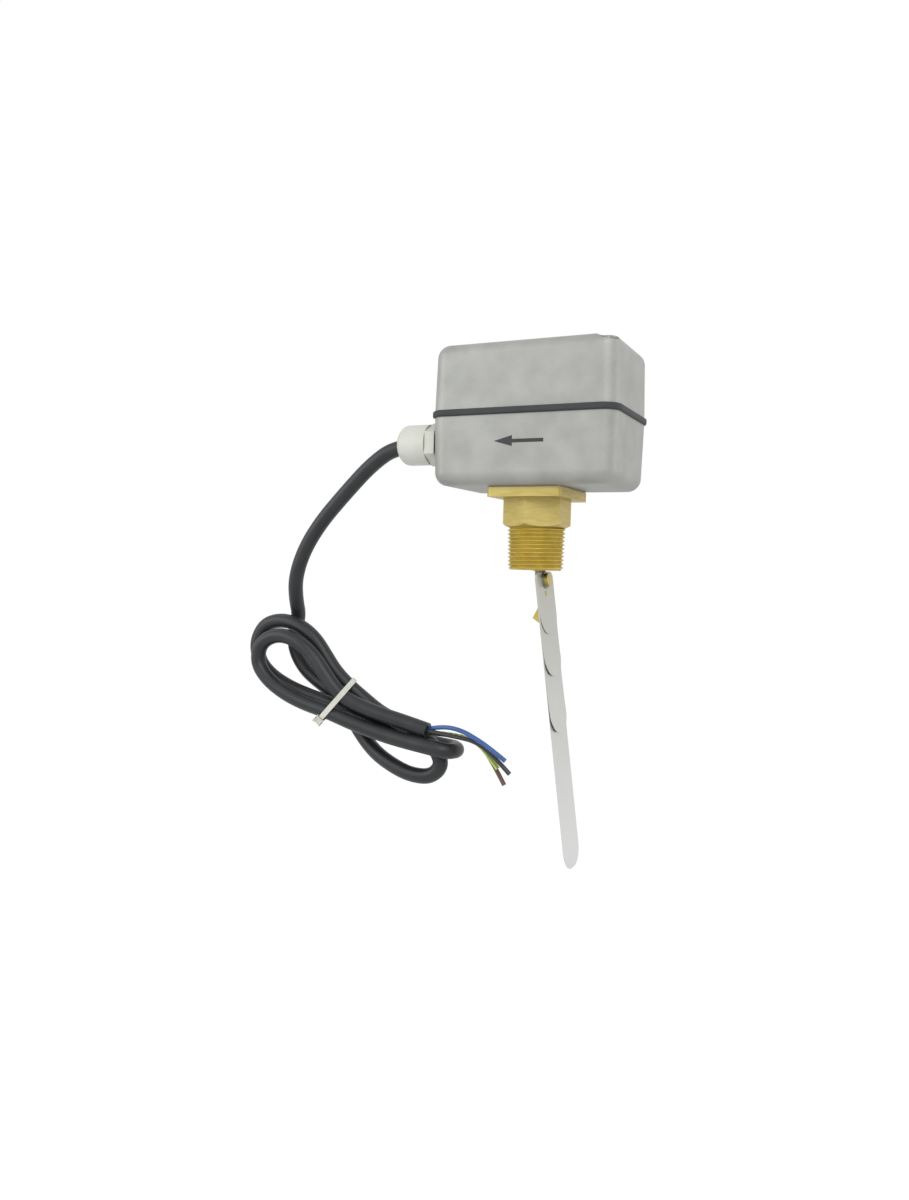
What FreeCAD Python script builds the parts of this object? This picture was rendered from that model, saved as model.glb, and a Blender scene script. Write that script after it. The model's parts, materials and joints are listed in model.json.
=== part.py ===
"""Paddle flow switch: die-cast housing, brass pipe body, leaning paddle and the switch inside.

Millimetres. The origin is on the axis of the pipe thread, at the lower face of the brass
hexagon. +Z points up into the housing, -Y is the front and water flows towards -X.
"""
import FreeCAD, Part
import math
import os
import Sketcher

V = FreeCAD.Vector
doc = FreeCAD.newDocument("paddle_flow_switch")
PARTS = []

# --- driving dimensions -------------------------------------------------------------------
SIZES = [
    # brass pipe body, R1 thread
    ("thread_radius", 16.62), ("thread_length", 26.0), ("spigot_radius", 15.2),
    ("lead_chamfer", 1.2), ("hex_flats", 36.0), ("hex_height", 17.0),
    ("flange_length", 46.5), ("flange_width", 51.0), ("flange_thickness", 5.5), ("flange_corner", 3.0),
    ("spigot_height", 2.5), ("bore_radius", 11.0), ("body_gasket", 0.8), ("seat_gap", 0.3),
    ("flange_inset_x", 4.5), ("flange_inset_y", 5.0), ("flange_screw_radius", 2.0),
    # housing
    ("housing_length", 114.0), ("housing_width", 70.0), ("housing_shift", 0.0),
    ("base_height", 40.4), ("cover_height", 39.5), ("wall", 3.0), ("floor", 4.0), ("corner_radius", 9.0),
    ("edge_radius", 8.0), ("inner_radius", 3.0), ("corner_cut", 4.0), ("draft", 1.2),
    ("gasket_thickness", 4.0),
    ("gasket_proud", 1.4), ("gasket_edge", 1.2), ("post_side", 14.0),
    ("cover_screw_radius", 2.0), ("cover_screw_bite", 12.0), ("screw_inset", 8.2), ("recess_radius", 6.2), ("recess_depth", 5.0),
    # paddle and lever, drawn upright about the pivot
    ("pivot_drop", 10.0), ("rest_lean", 8.1), ("pin_radius", 1.5), ("running_gap", 0.05),
    ("rod_radius", 3.0), ("rod_top", 44.0), ("rod_foot", 15.4), ("hub_radius", 6.0), ("hub_width", 10.0),
    ("tongue_width", 12.0), ("tongue_thickness", 4.2), ("tongue_face", 2.2), ("tongue_length", 48.6),
    ("foot_reach", 4.9), ("foot_rise", 4.0), ("foot_slope", 6.5),
    ("blade_width", 28.5), ("blade_thickness", 0.3), ("blade_top", 17.2), ("blade_end_radius", 12.0),
    ("blade_top_radius", 4.0), ("screw_drop", 22.5), ("pin_drop", 30.4),
    ("paddle_screw_radius", 2.5), ("paddle_head_radius", 4.0), ("paddle_head_height", 2.3),
    ("paddle_washer_radius", 5.2), ("paddle_washer", 0.5), ("paddle_nut_flats", 8.0), ("paddle_nut", 2.7),
    ("locating_radius", 1.5),
    # pivot bush and bellows
    ("bush_outer", 10.95), ("bush_inner", 8.3), ("bush_height", 8.0),
    ("bellows_foot", 6.5), ("bellows_top", 26.0), ("bellows_outer", 6.4), ("bellows_inner", 4.4),
    ("bellows_skin", 0.5), ("bellows_folds", 7),
    # switch bracket, inside the housing
    ("sheet", 1.5), ("bracket_left", 18.0), ("bracket_right", 40.0), ("bracket_top", 93.0),
    ("ear_gap", 10.6), ("ear_left", -10.0), ("ear_shoulder", 80.0), ("ear_bottom", 58.0),
    ("foot_width", 28.0), ("foot_screw_y", 10.5), ("small_screw_radius", 1.5),
    # rocker between lever and switch
    ("rocker_x", 10.0), ("rocker_z", 66.0), ("rocker_width", 8.0), ("rocker_hub", 3.2),
    ("rocker_leg", 35.0), ("rocker_leg_lean", 20.2), ("rocker_sheet", 1.6), ("rocker_tail", 8.0),
    ("rocker_arm", 28.0),
    # range spring and its screw
    ("spring_x", 33.0), ("spring_radius", 3.8), ("spring_wire", 0.45), ("spring_turns", 6),
    ("nut_bottom", 84.0), ("nut_height", 4.0), ("nut_side", 10.0), ("range_screw_radius", 2.5),
    ("range_screw_bottom", 76.0), ("range_head_radius", 4.5), ("range_head_height", 4.0), ("collar", 1.1),
    # snap-action switch
    ("switch_left", -9.0), ("switch_length", 27.8), ("switch_bottom", 71.0), ("switch_height", 15.9),
    ("switch_width", 10.3), ("switch_hole_inset", 2.8), ("plunger_x", 4.0), ("plunger_radius", 1.2),
    ("plunger_play", 0.1), ("plunger_inside", 3.5), ("tab_width", 4.8), ("tab_thickness", 0.6),
    ("tab_height", 6.5),
    # earth screw
    ("earth_x", -26.0), ("earth_y", 12.0), ("earth_boss_radius", 4.5), ("earth_boss_height", 5.0),
    # cable gland on the -X end
    ("gland_y", -14.8), ("gland_drop", 13.7), ("gland_thread_radius", 10.0), ("gland_washer", 1.5),
    ("gland_hex_flats", 23.0), ("gland_hex", 6.5), ("gland_inside", 8.5), ("gland_neck", 12.0),
    ("gland_nut_radius", 12.5), ("gland_nut_length", 20.6), ("gland_nut_gap", 0.4), ("gland_dome", 8.0),
    ("gland_wall", 2.6), ("gland_mouth", 6.0), ("locknut", 5.0), ("seal_length", 8.0),
    ("cable_radius", 4.9), ("core_radius", 1.4), ("hank_depth", 22.0), ("tie_width", 4.5), ("tie_strap", 1.3),
    ("tie_x", -130.9), ("tie_z", -114.3), ("tie_reach", 20.3),
]
sheet = doc.addObject("Spreadsheet::Sheet", "Sizes")
for row, (alias, value) in enumerate(SIZES, start=1):
    sheet.set("A%d" % row, alias)
    sheet.set("B%d" % row, str(value))
    sheet.setAlias("B%d" % row, alias)
doc.recompute()


def size(alias):
    """A driving dimension, read from the sheet."""
    return float(sheet.get(alias))


def bound(formula):
    """Turn a formula of bare size names, each marked with a $, into a sheet expression."""
    return formula.replace("$", "Sizes.")


# Heights and places that several pieces share, as formulas of the driving dimensions.
FLANGE_TOP = "($hex_height + $flange_thickness)"
BASE_BOTTOM = "($hex_height + $flange_thickness + $body_gasket)"
FLOOR = "($hex_height + $flange_thickness + $body_gasket + $floor)"
BASE_TOP = "($hex_height + $flange_thickness + $body_gasket + $base_height)"
COVER_BOTTOM = "(%s + $gasket_thickness)" % BASE_TOP
COVER_TOP = "(%s + $cover_height)" % COVER_BOTTOM
HALF_LENGTH = "($housing_length / 2)"
HALF_WIDTH = "($housing_width / 2)"
FLANGE_SCREW_X = "($flange_length / 2 - $flange_inset_x)"
FLANGE_SCREW_Y = "($flange_width / 2 - $flange_inset_y)"
GLAND_Z = "(%s - $gland_drop)" % BASE_TOP
POST_X = "(%s - $screw_inset)" % HALF_LENGTH
POST_Y = "(%s - $screw_inset)" % HALF_WIDTH
ARM_TOP = "($rocker_z + $rocker_sheet / 2)"
STACK_FRONT = "($tongue_face + 4 * $blade_thickness)"
TONGUE_BACK = "($tongue_face - $tongue_thickness)"


# --- helpers ------------------------------------------------------------------------------
def place(item, x="0", y="0", z="0", lean=False):
    """Put a sub-part at a formula position, leaning upstream about Y if asked."""
    if lean:
        item.Placement = FreeCAD.Placement(V(), FreeCAD.Rotation(V(0, -1, 0), size("rest_lean")))
        item.setExpression("Placement.Rotation.Angle", "Sizes.rest_lean")
    for axis, formula in zip("xyz", (x, y, z)):
        item.setExpression("Placement.Base." + axis, bound(formula))


def new_body(label, x="0", y="0", z="0", lean=False):
    body = doc.addObject("PartDesign::Body", label)
    body.Label = label
    place(body, x, y, z, lean)
    PARTS.append(body)
    return body


def sketch_on(body, role, offset="0"):
    """A sketch on one of the body's origin planes, moved along the plane's normal."""
    plane = [item for item in body.Origin.OriginFeatures if item.Role == role][0]
    sketch = body.newObject("Sketcher::SketchObject", body.Label + "_sketch")
    sketch.AttachmentSupport = [(plane, "")]
    sketch.MapMode = "FlatFace"
    sketch.setExpression("AttachmentOffset.Base.z", bound(offset))
    return sketch


def fix_point(sketch, index, end, x, y):
    """Hold a sketch point at a formula position from the sketch's origin."""
    for kind, formula in (("DistanceX", x), ("DistanceY", y)):
        number = sketch.addConstraint(Sketcher.Constraint(kind, -1, 1, index, end, 1.0))
        sketch.setExpression("Constraints[%d]" % number, bound(formula))


def polygon(sketch, corners):
    """A closed outline of straight lines through corners given as formula pairs."""
    count = len(corners)
    start = sketch.GeometryCount
    ring = [V(math.cos(2 * math.pi * i / count), math.sin(2 * math.pi * i / count)) for i in range(count)]
    for i in range(count):
        sketch.addGeometry(Part.LineSegment(ring[i], ring[(i + 1) % count]))
    for i, (x, y) in enumerate(corners):
        following = start + (i + 1) % count
        sketch.addConstraint(Sketcher.Constraint("Coincident", start + i, 2, following, 1))
        fix_point(sketch, start + i, 1, x, y)
    return sketch


def circle(sketch, radius, x="0", y="0"):
    index = sketch.addGeometry(Part.Circle(V(0, 0, 0), V(0, 0, 1), 1.0))
    number = sketch.addConstraint(Sketcher.Constraint("Radius", index, 1.0))
    sketch.setExpression("Constraints[%d]" % number, bound(radius))
    fix_point(sketch, index, 3, x, y)
    return sketch


def box_outline(x0, x1, y0, y1):
    return [(x0, y0), (x1, y0), (x1, y1), (x0, y1)]


def hexagon(flats):
    """Corners of a hexagon with two corners on the sketch's vertical axis."""
    half = "(%s / 2)" % flats
    corner = "(%s / sqrt(3))" % flats
    side = "(%s / sqrt(3) / 2)" % flats
    return [("0", "-" + corner), (half, "-" + side), (half, side),
            ("0", corner), ("-" + half, side), ("-" + half, "-" + side)]


def run_feature(body, kind, sketch, settings):
    """Add a feature to the body and check that it adds or cuts material as its kind says."""
    before = body.Shape.Volume if body.Tip else 0.0
    feature = body.newObject("PartDesign::" + kind, body.Label + "_" + kind)
    feature.Profile = sketch
    for name, value in settings.items():
        setattr(feature, name, value)
    return feature, before


def check_feature(body, kind, before):
    doc.recompute()
    after = body.Shape.Volume
    if kind in ("Pocket", "Groove") and not after < before - 1e-6:
        raise ValueError("%s: %s cuts nothing" % (body.Label, kind))
    if kind in ("Pad", "Revolution") and not after > before + 1e-6:
        raise ValueError("%s: %s adds nothing" % (body.Label, kind))


def extrude(body, kind, sketch, length, reverse=False, both=False, taper=None):
    side = {"Reversed": reverse, "SideType": "Symmetric" if both else "One side"}
    feature, before = run_feature(body, kind, sketch, side)
    feature.setExpression("Length", bound(length))
    if taper:
        feature.setExpression("TaperAngle", bound(taper))
    check_feature(body, kind, before)
    return feature


def spin(body, kind, sketch, axis="V_Axis"):
    feature, before = run_feature(body, kind, sketch, {"ReferenceAxis": (sketch, [axis])})
    check_feature(body, kind, before)
    return feature


def dress(body, kind, wanted, amount):
    """Fillet or chamfer the edges of the body's tip that the test picks."""
    tip = body.Tip
    names = ["Edge%d" % (i + 1) for i, edge in enumerate(tip.Shape.Edges) if wanted(edge)]
    feature = body.newObject("PartDesign::" + kind, body.Label + "_" + kind)
    feature.Base = (tip, names)
    feature.setExpression("Radius" if kind == "Fillet" else "Size", bound(amount))
    doc.recompute()
    return feature


def upright(edge):
    """True for an edge that runs mostly along Z."""
    box = edge.BoundBox
    return box.ZLength > 3 * max(box.XLength, box.YLength)


def across(edge):
    """True for an edge that runs along X, as the corners of a plate in the YZ plane do."""
    box = edge.BoundBox
    return box.XLength > 1e-4 and max(box.YLength, box.ZLength) < 1e-6


def level_at(height):
    return lambda edge: edge.BoundBox.ZLength < 1e-4 and abs(edge.BoundBox.ZMin - height) < 1e-4


def round_bar(name, radius, length, x, y, z, direction):
    """A plain cylinder with its start at x, y, z, pointing along direction."""
    bar = doc.addObject("Part::Cylinder", name)
    bar.setExpression("Radius", bound(radius))
    bar.setExpression("Height", bound(length))
    bar.Placement = FreeCAD.Placement(V(), FreeCAD.Rotation(V(0, 0, 1), direction))
    place(bar, x, y, z)
    return bar


def fused(name, items):
    result = doc.addObject("Part::MultiFuse", name)
    result.Shapes = items
    return result


def group(label, items, x="0", y="0", z="0", lean=False):
    """One node that holds separate solids."""
    result = doc.addObject("Part::Compound", label)
    result.Label = label
    result.Links = items
    place(result, x, y, z, lean)
    PARTS.append(result)
    return result


def screw(name, x, y, z, direction, head_radius, head_height, radius, length):
    """A headed screw whose seat is at x, y, z and whose shank points along direction."""
    head = round_bar(name + "_head", head_radius, head_height, x, y, z, direction * -1)
    shank = round_bar(name + "_shank", radius, length, x, y, z, direction)
    return fused(name, [head, shank])


UP, DOWN = V(0, 0, 1), V(0, 0, -1)
SOUTH, NORTH = V(0, -1, 0), V(0, 1, 0)
WEST, EAST = V(-1, 0, 0), V(1, 0, 0)
FOUR = [("x%dy%d" % (i, j), i, j) for i in (-1, 1) for j in (-1, 1)]


# --- brass body ---------------------------------------------------------------------------
def flange_outline(inset="0"):
    half_x = "($flange_length / 2 - %s)" % inset
    half_y = "($flange_width / 2 - %s)" % inset
    return box_outline("-" + half_x, half_x, "-" + half_y, half_y)


def flange_holes(sketch, radius):
    for _, i, j in FOUR:
        circle(sketch, radius, "%d * %s" % (i, FLANGE_SCREW_X), "%d * %s" % (j, FLANGE_SCREW_Y))
    return sketch


def make_brass_body():
    body = new_body("brass_body")
    top = FLANGE_TOP + " + $spigot_height"
    profile = [("0", "-$thread_length"), ("$thread_radius - $lead_chamfer", "-$thread_length"),
               ("$thread_radius", "$lead_chamfer - $thread_length"), ("$thread_radius", "$hex_height / 2"),
               ("$spigot_radius", "$hex_height / 2"), ("$spigot_radius", top), ("0", top)]
    spin(body, "Revolution", polygon(sketch_on(body, "XZ_Plane"), profile))
    extrude(body, "Pad", polygon(sketch_on(body, "XY_Plane"), hexagon("$hex_flats")), "$hex_height")
    # The 30 degree turned chamfer on the hexagon's lower corners.
    reach = "($hex_flats / sqrt(3) + 1)"
    cone = [("$hex_flats / 2", "0"), (reach, "0"), (reach, "(%s - $hex_flats / 2) * tan(30)" % reach)]
    spin(body, "Groove", polygon(sketch_on(body, "XZ_Plane"), cone))
    plate = polygon(sketch_on(body, "XY_Plane", "$hex_height"), flange_outline())
    extrude(body, "Pad", plate, "$flange_thickness")
    low, high = size("hex_height"), size("hex_height") + size("flange_thickness")
    far = min(size("flange_length"), size("flange_width")) / 2 - 0.1

    def flange_corner(edge):
        box = edge.BoundBox
        return upright(edge) and box.ZMin > low - 0.1 and box.ZMax < high + 0.1 and abs(box.XMin) > far
    dress(body, "Fillet", flange_corner, "$flange_corner")
    extrude(body, "Pocket", circle(sketch_on(body, "XY_Plane", "-$thread_length"), "$bore_radius"),
            "$thread_length + " + top, reverse=True)
    holes = flange_holes(sketch_on(body, "XY_Plane", FLANGE_TOP), "$flange_screw_radius")
    extrude(body, "Pocket", holes, "$flange_thickness - 1")


def make_body_gasket():
    body = new_body("body_gasket", z=FLANGE_TOP)
    sketch = polygon(sketch_on(body, "XY_Plane"), flange_outline("1"))
    flange_holes(sketch, "$flange_screw_radius + $seat_gap")
    circle(sketch, "$spigot_radius + $seat_gap")
    extrude(body, "Pad", sketch, "$body_gasket")


# --- housing ------------------------------------------------------------------------------
def housing_outline(grow="0"):
    half_x = "(%s + %s)" % (HALF_LENGTH, grow)
    half_y = "(%s + %s)" % (HALF_WIDTH, grow)
    return box_outline("-" + half_x, half_x, "-" + half_y, half_y)


def cavity_outline():
    """The inside of the housing: a rectangle less the two corner posts for the cover screws.

    Its two other corners are cut across, so that the wall stays whole inside the rounded corners.
    """
    a = "(%s - $wall)" % HALF_LENGTH
    b = "(%s - $wall)" % HALF_WIDTH
    c = "(%s - $wall - $post_side)" % HALF_LENGTH
    d = "(%s - $wall - $post_side)" % HALF_WIDTH
    e = "(%s - $wall - $corner_cut)" % HALF_LENGTH
    f = "(%s - $wall - $corner_cut)" % HALF_WIDTH
    return [("-" + e, "-" + b), (c, "-" + b), (c, "-" + d), (a, "-" + d), (a, f), (e, b),
            ("-" + c, b), ("-" + c, d), ("-" + a, d), ("-" + a, "-" + f)]


def post_holes(sketch, radius):
    circle(sketch, radius, POST_X, "-" + POST_Y)
    circle(sketch, radius, "-" + POST_X, POST_Y)
    return sketch


def cavity_edge(edge):
    """True for an upright edge of the cavity."""
    box = edge.BoundBox
    return upright(edge) and max(abs(box.XMin), abs(box.XMax)) < size("housing_length") / 2 - size("wall") + 0.01


def shell_half(body, height, reverse):
    """One drafted half of the housing, rounded outside and hollowed from its open face."""
    sketch = polygon(sketch_on(body, "XY_Plane"), housing_outline())
    extrude(body, "Pad", sketch, "$" + height, reverse=reverse, taper="-$draft")
    dress(body, "Fillet", upright, "$corner_radius")
    dress(body, "Fillet", level_at(-size(height) if reverse else size(height)), "$edge_radius")
    sketch = polygon(sketch_on(body, "XY_Plane"), cavity_outline())
    extrude(body, "Pocket", sketch, "$%s - $floor" % height, reverse=not reverse)
    dress(body, "Fillet", cavity_edge, "$inner_radius")


def make_base_housing():
    body = new_body("base_housing", x="$housing_shift", z=BASE_TOP)
    shell_half(body, "base_height", True)
    floor = "-$base_height"
    sketch = sketch_on(body, "XY_Plane", floor)
    circle(sketch, "$spigot_radius + $seat_gap", "-$housing_shift")
    for _, i, j in FOUR:
        circle(sketch, "$flange_screw_radius + $seat_gap",
               "%d * %s - $housing_shift" % (i, FLANGE_SCREW_X), "%d * %s" % (j, FLANGE_SCREW_Y))
    extrude(body, "Pocket", sketch, "$floor + 1", reverse=True)
    boss = circle(sketch_on(body, "XY_Plane", floor + " + $floor / 2"), "$earth_boss_radius",
                  "$earth_x - $housing_shift", "$earth_y")
    extrude(body, "Pad", boss, "$earth_boss_height + $floor / 2")
    tapped = circle(sketch_on(body, "XY_Plane", floor + " + $floor + $earth_boss_height"),
                    "$cover_screw_radius", "$earth_x - $housing_shift", "$earth_y")
    extrude(body, "Pocket", tapped, "$earth_boss_height")
    holes = post_holes(sketch_on(body, "XY_Plane"), "$cover_screw_radius + $running_gap")
    extrude(body, "Pocket", holes, "$cover_screw_bite + 8")
    entry = circle(sketch_on(body, "YZ_Plane", "-$housing_length / 2"), "$gland_thread_radius",
                   "$gland_y", "-$gland_drop")
    extrude(body, "Pocket", entry, "$wall + 2", reverse=True)


def make_cover():
    body = new_body("cover", x="$housing_shift", z=COVER_BOTTOM)
    shell_half(body, "cover_height", False)
    recess = post_holes(sketch_on(body, "XY_Plane", "$cover_height"), "$recess_radius")
    extrude(body, "Pocket", recess, "$recess_depth")
    hole = post_holes(sketch_on(body, "XY_Plane", "$cover_height"), "$cover_screw_radius + $seat_gap")
    extrude(body, "Pocket", hole, "$cover_height")


def make_housing_gasket():
    body = new_body("housing_gasket", x="$housing_shift", z=BASE_TOP)
    extrude(body, "Pad", polygon(sketch_on(body, "XY_Plane"), housing_outline("$gasket_proud")),
            "$gasket_thickness")
    dress(body, "Fillet", upright, "$corner_radius + $gasket_proud")
    faces = (level_at(0.0), level_at(size("gasket_thickness")))
    dress(body, "Fillet", lambda edge: any(face(edge) for face in faces), "$gasket_edge")
    sketch = polygon(sketch_on(body, "XY_Plane"), cavity_outline())
    extrude(body, "Pocket", sketch, "$gasket_thickness", reverse=True)
    holes = post_holes(sketch_on(body, "XY_Plane"), "$cover_screw_radius + $seat_gap")
    extrude(body, "Pocket", holes, "$gasket_thickness", reverse=True)


def make_housing_screws():
    seat = COVER_TOP + " - $recess_depth"
    spots = (("east", "$housing_shift + " + POST_X, "-" + POST_Y),
             ("west", "$housing_shift - " + POST_X, POST_Y))
    group("cover_screws", [screw("cover_screw_" + name, x, y, seat, DOWN, "3.6", "2.8",
                                 "$cover_screw_radius", "$cover_height - $recess_depth + $gasket_thickness + $cover_screw_bite")
                           for name, x, y in spots])
    group("flange_screws", [screw("flange_screw_" + name, "%d * %s" % (i, FLANGE_SCREW_X),
                                  "%d * %s" % (j, FLANGE_SCREW_Y), FLOOR, DOWN, "3.5", "2.6",
                                  "$flange_screw_radius", "$floor + $body_gasket + $flange_thickness - 1.5")
                            for name, i, j in FOUR])
    boss_top = FLOOR + " + $earth_boss_height"
    washer = new_body("earth_washer", "$earth_x", "$earth_y", boss_top)
    extrude(washer, "Pad", circle(circle(sketch_on(washer, "XY_Plane"), "4.2"),
                                  "$cover_screw_radius + $seat_gap"), "0.8")
    group("earth_screw", [screw("earth_screw_solid", "$earth_x", "$earth_y", boss_top + " + 0.8", DOWN,
                                "3.6", "2.6", "$cover_screw_radius", "$earth_boss_height")])


# --- paddle: all of it swings about the pivot pin --------------------------------------------
def paddle_body(label):
    return new_body(label, z="-$pivot_drop", lean=True)


def make_lever():
    body = paddle_body("lever")
    rod = [("0", "-$rod_foot"), ("$rod_radius", "-$rod_foot"), ("$rod_radius", "$rod_top - 0.6"),
           ("$rod_radius - 0.6", "$rod_top"), ("0", "$rod_top")]
    spin(body, "Revolution", polygon(sketch_on(body, "XZ_Plane"), rod))
    extrude(body, "Pad", circle(sketch_on(body, "XZ_Plane"), "$hub_radius"), "$hub_width", both=True)
    foot_top = "$foot_rise + $foot_slope - $tongue_length"
    tongue = [("$tongue_face", "-$hub_radius"), (TONGUE_BACK, "-$hub_radius"), (TONGUE_BACK, foot_top),
              ("-$foot_reach", "$foot_rise - $tongue_length"), (TONGUE_BACK, "-$tongue_length"),
              ("$tongue_face", "-$tongue_length")]
    extrude(body, "Pad", polygon(sketch_on(body, "XZ_Plane"), tongue), "$tongue_width", both=True)
    # The rod's foot is filed flat where the blades lie against it.
    flat = box_outline("$tongue_face", "$rod_radius + 1", "-$rod_foot - 1", "-$hub_radius")
    extrude(body, "Pocket", polygon(sketch_on(body, "XZ_Plane"), flat), "$tongue_width", both=True)
    extrude(body, "Pocket", circle(sketch_on(body, "XZ_Plane"), "$pin_radius + $running_gap"),
            "$hub_width", both=True)
    holes = circle(sketch_on(body, "YZ_Plane"), "$paddle_screw_radius", "0", "-$screw_drop")
    circle(holes, "$locating_radius", "0", "-$pin_drop")
    extrude(body, "Pocket", holes, "$tongue_thickness * 3", both=True)


BLADES = [("blade_6_inch", 196.2), ("blade_3_inch", 114.4), ("blade_2_inch", 80.4), ("blade_1_inch", 55.2)]


def make_blade(index, label, length):
    """One stainless blade of the stack; the shortest lies outermost, upstream."""
    body = paddle_body(label)
    sketch = sketch_on(body, "YZ_Plane", "$tongue_face + %d * $blade_thickness" % index)
    half = "$blade_width / 2"
    polygon(sketch, box_outline("-" + half, half, "-%s" % length, "-$blade_top"))
    extrude(body, "Pad", sketch, "$blade_thickness")
    middle = -(length + size("blade_top")) / 2
    dress(body, "Fillet", lambda edge: across(edge) and edge.BoundBox.ZMax < middle, "$blade_end_radius")
    dress(body, "Fillet", lambda edge: across(edge) and edge.BoundBox.ZMin > middle
          and abs(edge.BoundBox.ZMin + size("blade_top")) < 1e-3, "$blade_top_radius")
    holes = circle(sketch_on(body, "YZ_Plane"), "$paddle_screw_radius + $running_gap", "0", "-$screw_drop")
    circle(holes, "$locating_radius + $running_gap", "0", "-$pin_drop")
    extrude(body, "Pocket", holes, "2 * %s + 2" % STACK_FRONT, both=True)


def make_paddle_fixings():
    washer = paddle_body("paddle_washer")
    sketch = circle(sketch_on(washer, "YZ_Plane", STACK_FRONT), "$paddle_washer_radius", "0", "-$screw_drop")
    circle(sketch, "$paddle_screw_radius + $running_gap", "0", "-$screw_drop")
    extrude(washer, "Pad", sketch, "$paddle_washer")
    seat = STACK_FRONT + " + $paddle_washer"
    reach = "$tongue_thickness + 4 * $blade_thickness + $paddle_washer + $paddle_nut + 1"
    group("paddle_screw", [screw("paddle_screw_solid", seat, "0", "-$screw_drop", WEST,
                                 "$paddle_head_radius", "$paddle_head_height", "$paddle_screw_radius", reach)],
          z="-$pivot_drop", lean=True)
    nut = paddle_body("paddle_nut")
    sketch = sketch_on(nut, "YZ_Plane", TONGUE_BACK + " - $paddle_nut")
    polygon(sketch, [(x, "%s - $screw_drop" % z) for x, z in hexagon("$paddle_nut_flats")])
    circle(sketch, "$paddle_screw_radius", "0", "-$screw_drop")
    extrude(nut, "Pad", sketch, "$paddle_nut")
    pin = round_bar("locating_pin_solid", "$locating_radius", "$tongue_thickness + 4 * $blade_thickness + 0.3",
                    TONGUE_BACK, "0", "-$pin_drop", EAST)
    group("locating_pin", [pin], z="-$pivot_drop", lean=True)


def make_bellows():
    """Corrugated bronze bellows round the lever, closed on the rod at its top."""
    body = paddle_body("bellows")
    folds = int(size("bellows_folds"))
    pitch = "($bellows_top - $bellows_foot - 2 * $bellows_skin) / %d" % folds
    base = "$bellows_foot + $bellows_skin"
    outer, inner = [], []
    for i in range(folds):
        valley = "%s + %s * %d" % (base, pitch, i)
        crest = "%s + %s * (%d + 0.5)" % (base, pitch, i)
        outer += [("$bellows_inner + $bellows_skin", valley), ("$bellows_outer", crest)]
        inner += [("$bellows_inner", valley), ("$bellows_outer - $bellows_skin", crest)]
    last = "$bellows_top - $bellows_skin"
    profile = [("$bellows_outer", "$bellows_foot"), ("$bellows_outer", base)] + outer
    profile += [("$bellows_outer", last), ("$bellows_outer", "$bellows_top"), ("$rod_radius", "$bellows_top"),
                ("$rod_radius", last), ("$bellows_inner", last)]
    profile += list(reversed(inner)) + [("$bellows_inner", "$bellows_foot")]
    spin(body, "Revolution", polygon(sketch_on(body, "XZ_Plane"), profile))


def make_pivot():
    body = new_body("pivot_bush", z="-$pivot_drop")
    ring = circle(sketch_on(body, "XY_Plane"), "$bush_outer")
    circle(ring, "$bush_inner")
    extrude(body, "Pad", ring, "$bush_height", both=True)
    extrude(body, "Pocket", circle(sketch_on(body, "XZ_Plane"), "$pin_radius"), "$bush_outer * 3", both=True)
    length = "2 * $bush_outer - 1"
    group("pivot_pin", [round_bar("pivot_pin_solid", "$pin_radius", length, "0", "$bush_outer - 0.5",
                                  "-$pivot_drop", SOUTH)])


# --- switch mechanism inside the housing ------------------------------------------------------
def make_bracket():
    body = new_body("switch_bracket")
    ears = [("$bracket_left", FLOOR), ("$bracket_right", FLOOR), ("$bracket_right", "$bracket_top"),
            ("$bracket_left + 8", "$bracket_top"), ("$bracket_left + 8", "$ear_shoulder"),
            ("$ear_left", "$ear_shoulder"), ("$ear_left", "$ear_shoulder - 10"),
            ("$rocker_x - 6", "$ear_bottom + 2"), ("$bracket_left", "$ear_bottom")]
    extrude(body, "Pad", polygon(sketch_on(body, "XZ_Plane"), ears), "$ear_gap + 2 * $sheet", both=True)
    gap = box_outline("$ear_left - 1", "$bracket_right + 1", FLOOR + " + $sheet", "$bracket_top - $sheet")
    extrude(body, "Pocket", polygon(sketch_on(body, "XZ_Plane"), gap), "$ear_gap", both=True)
    feet = box_outline("$bracket_left", "$bracket_right", "-$foot_width / 2", "$foot_width / 2")
    extrude(body, "Pad", polygon(sketch_on(body, "XY_Plane", FLOOR), feet), "$sheet")
    middle = "($bracket_left + $bracket_right) / 2"
    sketch = circle(sketch_on(body, "XY_Plane", FLOOR), "$small_screw_radius", middle, "$foot_screw_y")
    circle(sketch, "$small_screw_radius", middle, "-$foot_screw_y")
    extrude(body, "Pocket", sketch, "$sheet", reverse=True)
    sketch = circle(sketch_on(body, "XY_Plane", "$bracket_top"), "$range_screw_radius + $running_gap", "$spring_x")
    extrude(body, "Pocket", sketch, "$sheet")
    sketch = circle(sketch_on(body, "XZ_Plane"), "$pin_radius", "$rocker_x", "$rocker_z")
    for x in switch_holes():
        circle(sketch, "$small_screw_radius", x, "$switch_bottom + $switch_hole_inset")
    extrude(body, "Pocket", sketch, "$foot_width", both=True)
    group("bracket_screws", [screw("bracket_screw_" + name, middle, "%d * $foot_screw_y" % side,
                                   FLOOR + " + $sheet", DOWN, "2.7", "2", "$small_screw_radius", "$sheet")
                             for name, side in (("front", -1), ("back", 1))])
    half = "($ear_gap / 2 + $sheet)"
    group("rocker_pin", [round_bar("rocker_pin_solid", "$pin_radius", "2 * %s + 1" % half,
                                   "$rocker_x", half + " + 0.5", "$rocker_z", SOUTH)])


def switch_holes():
    return ("$switch_left + $switch_hole_inset", "$switch_left + $switch_length - $switch_hole_inset")


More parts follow.
